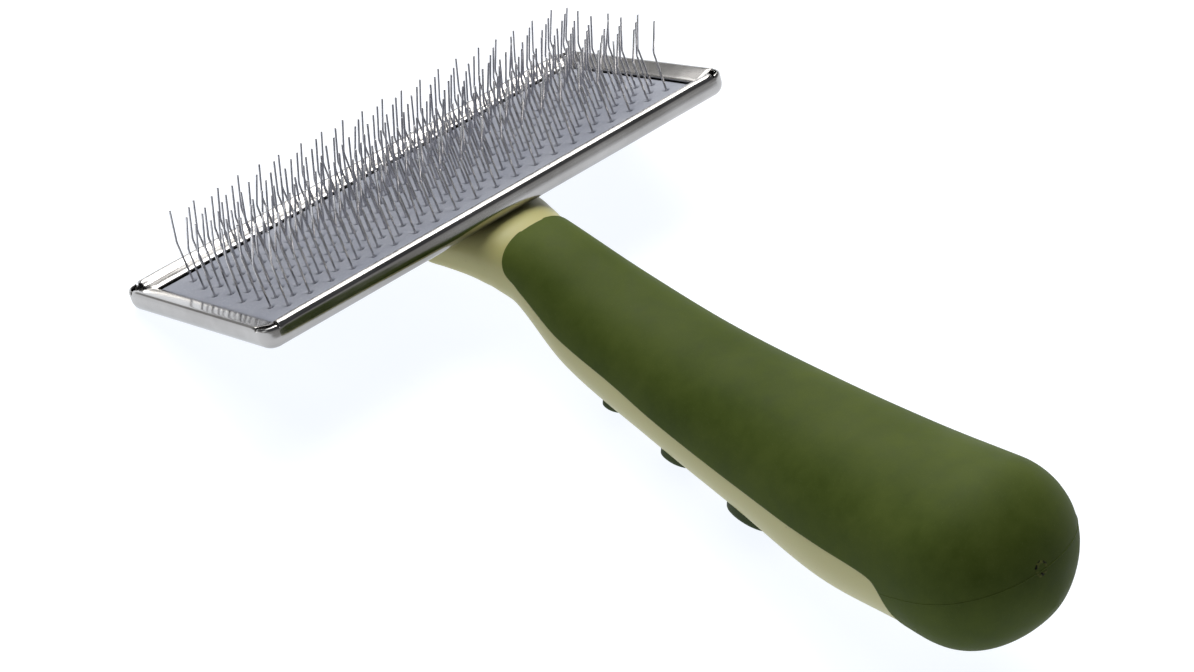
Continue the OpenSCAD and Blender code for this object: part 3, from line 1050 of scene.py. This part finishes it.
def build_gate_mark():
    """The torn stub of moulded rubber where the parting line crosses the butt."""
    bm = bmesh.new()
    d = parting_end() - 0.25
    centre = surface(d, -0.16)
    out = surface_normal(d, -0.16)
    side = out.cross(Vector((1, 0, 0))).normalized()
    other = out.cross(side)
    rings = []
    for k in range(12):
        share = (k + 0.3) / 11.3
        ring = []
        for n in range(36):
            a = 2 * math.pi * n / 36
            radius = 1.8 * share * (1 + 0.14 * ripple(math.cos(a), math.sin(a), 0, 3))
            spot = side * math.cos(a) * radius + other * math.sin(a) * radius
            rim = math.exp(-((share - 0.62) / 0.26) ** 2)
            crumb = 0.20 * ripple(spot.x * 2.2, spot.y * 2.2, spot.z * 2.2, 5)
            height = 0.07 * rim - 0.34 * math.exp(-(share / 0.30) ** 2) + crumb * (1 - share ** 3)
            height -= 0.30 * share ** 4
            ring.append(centre + spot + out * height)
        rings.append(ring)
    rings.append([point - out * 0.6 for point in rings[-1]])
    loft(bm, rings)
    make_piece("gate_mark", bm, HANDLE, torn, sharp=80)


# Thumb dots as in the CAD: distance behind the middle of the head, half width and half length of the
# dome, half width and half length of the outline
DOTS = [(63.2, 11.9, 6.5, 10.8, 2.6), (80.8, 13.2, 11, 12.0, 4.8), (100.4, 14.9, 17, 13.4, 7.4)]
DOT_H = 1.58
DOT_SINK = 0.35


def build_dots():
    bm = bmesh.new()
    profile = [(0.05, 0), (0.3, 0), (0.55, 0), (0.75, 0), (0.87, 0), (0.93, 0.03), (0.965, 0.10),
               (0.988, 0.24), (0.998, 0.45), (1.0, 0.7), (1.0, 2.8)]
    for d, dome_x, dome_y, half_x, half_y in DOTS:
        top, low = section(d)[:2]
        height = (top.z - low.z) / 2
        level = (top.z + low.z) / 2 - DOT_SINK * height
        deep = (1 - DOT_SINK) * height + DOT_H
        rings = []
        for share, lift in profile:
            ring = []
            for n in range(96):
                a = 2 * math.pi * n / 96
                x = share * half_x * math.cos(a)
                y = share * half_y * math.sin(a)
                drop = deep * math.sqrt(1 - (x / dome_x) ** 2 - (y / dome_y) ** 2)
                ring.append(Vector((x, -d - y, level - drop + lift)))
            rings.append(ring)
        loft(bm, rings)
    piece = make_piece("thumb_rests", bm, HANDLE, dot_olive, sharp=60)
    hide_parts("thumb_dots")


# ---- Studio ----

AIM = Vector((-5.84, 13.22, 15.0)) * MM
VIEW_AZIMUTH = math.radians(-45.64)
VIEW_ELEVATION = math.radians(44.15)
VIEW_ROLL = math.radians(3.51)
VIEW_DISTANCE = 0.4931
LENS = 78.76
FLOOR_SIZE = 3.0
FLOOR_DROP = 0.00002


def build_camera():
    data = bpy.data.cameras.new("camera")
    data.lens = LENS
    data.sensor_width = 36
    data.clip_start = 0.01
    camera = bpy.data.objects.new("camera", data)
    bpy.context.scene.collection.objects.link(camera)
    back = Vector((math.sin(VIEW_AZIMUTH) * math.cos(VIEW_ELEVATION),
                   -math.cos(VIEW_AZIMUTH) * math.cos(VIEW_ELEVATION), math.sin(VIEW_ELEVATION)))
    level = Vector((0, 0, 1)).cross(back).normalized()
    right = Matrix.Rotation(VIEW_ROLL, 3, back) @ level
    up = back.cross(right)
    turn = Matrix((right, up, back)).transposed().to_4x4()
    camera.matrix_world = Matrix.Translation(AIM + back * VIEW_DISTANCE) @ turn
    bpy.context.scene.camera = camera


def add_softbox(name, place, target, size, watts, colour):
    data = bpy.data.lights.new(name, "AREA")
    data.shape = "RECTANGLE"
    data.size, data.size_y = size
    data.energy = watts
    data.color = colour
    light = bpy.data.objects.new(name, data)
    bpy.context.scene.collection.objects.link(light)
    light.location = place
    light.rotation_euler = (Vector(place) - Vector(target)).to_track_quat("Z", "Y").to_euler()


def build_studio():
    bm = bmesh.new()
    bmesh.ops.create_grid(bm, x_segments=8, y_segments=8, size=FLOOR_SIZE)
    mesh = bpy.data.meshes.new("floor")
    bm.to_mesh(mesh)
    bm.free()
    finish = Finish("pale_paper", Specular_IOR_Level=0.1, Emission_Color=(0.90, 0.94, 1.0, 1),
                    Emission_Strength=0.97)
    blots = finish.grain(8, detail=2)
    finish.colour(finish.ramp(blots, (0.3, (0.23, 0.23, 0.23)), (0.7, (0.25, 0.25, 0.25))))
    finish.roughness(finish.span(finish.grain(3), 0.85, 0.95))
    mesh.materials.append(finish.material)
    floor = bpy.data.objects.new("floor", mesh)
    bpy.context.scene.collection.objects.link(floor)
    floor.location.z = -FLOOR_DROP

    world = bpy.data.worlds.new("studio")
    world.use_nodes = True
    tree = world.node_tree
    place = tree.nodes.new("ShaderNodeTexCoord")
    split = tree.nodes.new("ShaderNodeSeparateXYZ")
    sky = tree.nodes.new("ShaderNodeValToRGB")
    tree.links.new(place.outputs["Generated"], split.inputs["Vector"])
    tree.links.new(split.outputs["Z"], sky.inputs["Fac"])
    tree.links.new(sky.outputs["Color"], tree.nodes["Background"].inputs["Color"])
    stops = [(0.0, (0.66, 0.66, 0.66)), (0.22, (0.50, 0.50, 0.50)), (0.38, (0.12, 0.12, 0.13)),
             (1.0, (0.14, 0.15, 0.16))]
    line = sky.color_ramp.elements
    while len(line) < len(stops):
        line.new(0.5)
    for element, (where, colour) in zip(line, stops):
        element.position = where
        element.color = (*colour, 1)
    tree.nodes["Background"].inputs["Strength"].default_value = 0.7
    bpy.context.scene.world = world

    add_softbox("key", (0.42, 0.50, 0.85), (0, 0, 0), (0.8, 0.6), 12, (1.0, 0.985, 0.96))
    add_softbox("top", (-0.05, 0.55, 0.95), (0, 0, 0), (0.6, 0.6), 4, (1.0, 1.0, 1.0))
    add_softbox("back", (0.52, 0.86, 0.43), (0, 0.07, 0.02), (0.9, 0.22), 2.6, (1.0, 0.99, 0.97))
    add_softbox("left", (-0.9, 0.1, 0.5), (0, 0, 0.02), (0.5, 0.7), 0.9, (0.96, 0.98, 1.0))
    bpy.context.scene.view_settings.view_transform = "Standard"


build_camera()
build_pan()
build_pad()
build_foam()
frame["nodes"]["backing_board"].data.materials.clear()
frame["nodes"]["backing_board"].data.materials.append(board_fibre)
build_wires()
build_fasteners()
build_core()
build_skin()
build_parting_line()
build_gate_mark()
build_dots()
build_studio()

bpy.context.view_layer.update()
